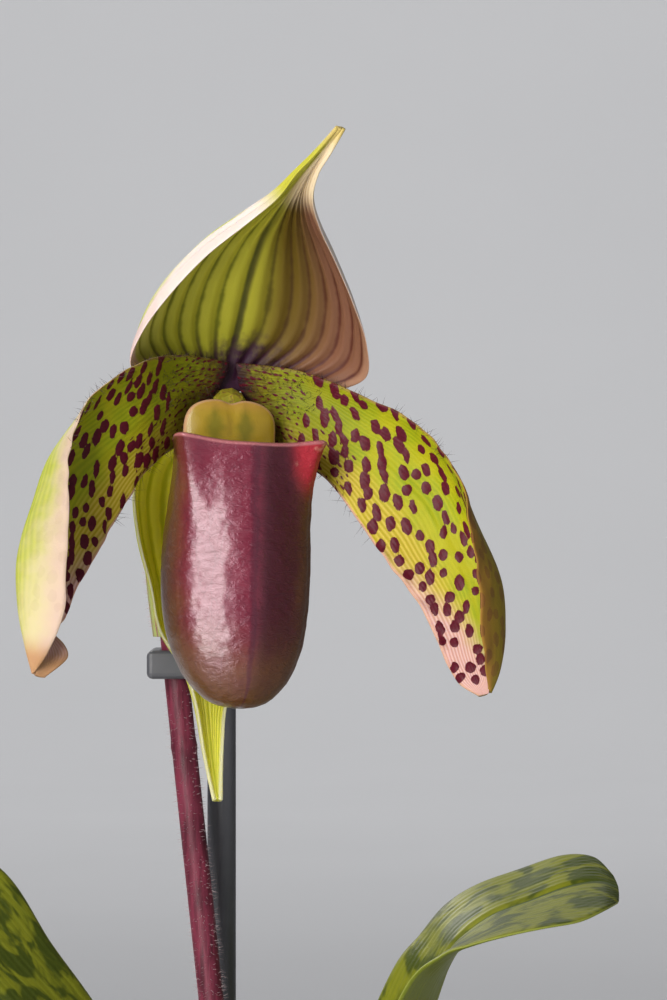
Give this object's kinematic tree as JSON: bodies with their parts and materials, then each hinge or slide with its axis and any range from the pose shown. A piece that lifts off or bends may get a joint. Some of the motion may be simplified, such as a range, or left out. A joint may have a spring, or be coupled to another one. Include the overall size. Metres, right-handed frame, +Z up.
{
  "type": "potted slipper orchid",
  "caption": "Slipper orchid in a plain round pot: one bloom with spotted drooping petals and a glossy pouch on a staked stem above arching mottled leaves.",
  "frame": {"origin": "middle of the pot's underside", "axes": "+Z up along the pot's axis; the bloom looks towards -Y and a little towards +X"},
  "size_m": [0.1715, 0.1612, 0.3098],
  "materials": {
    "petal": "satin living petal, lime green with raised maroon spots",
    "sepal": "satin living sepal, pale with green veins",
    "pouch": "glossy waxy maroon",
    "shield": "waxy olive yellow",
    "leaf": "satin leaf, two greens mottled",
    "stem": "hairy maroon stem",
    "support": "dark grey plastic",
    "pot": "matte dark grey plastic",
    "bark": "rough orchid bark",
    "root": "felted brown roots and rhizome"
  },
  "bodies": {
    "root": {"dorsal_sepal": "sepal", "synsepal": "sepal", "petal_right": "petal", "petal_left": "petal", "pouch": "pouch", "column": "shield", "staminode": "shield", "ovary": "stem", "bract": "leaf", "scape": "stem", "stem_clip": "support", "stake": "support", "leaf_right_upper": "leaf", "leaf_left_upper": "leaf", "leaf_right_front": "leaf", "leaf_right_back": "leaf", "leaf_left_front": "leaf", "crown_and_roots": "root", "bark": "bark", "pot": "pot"}
  },
  "joints": []
}
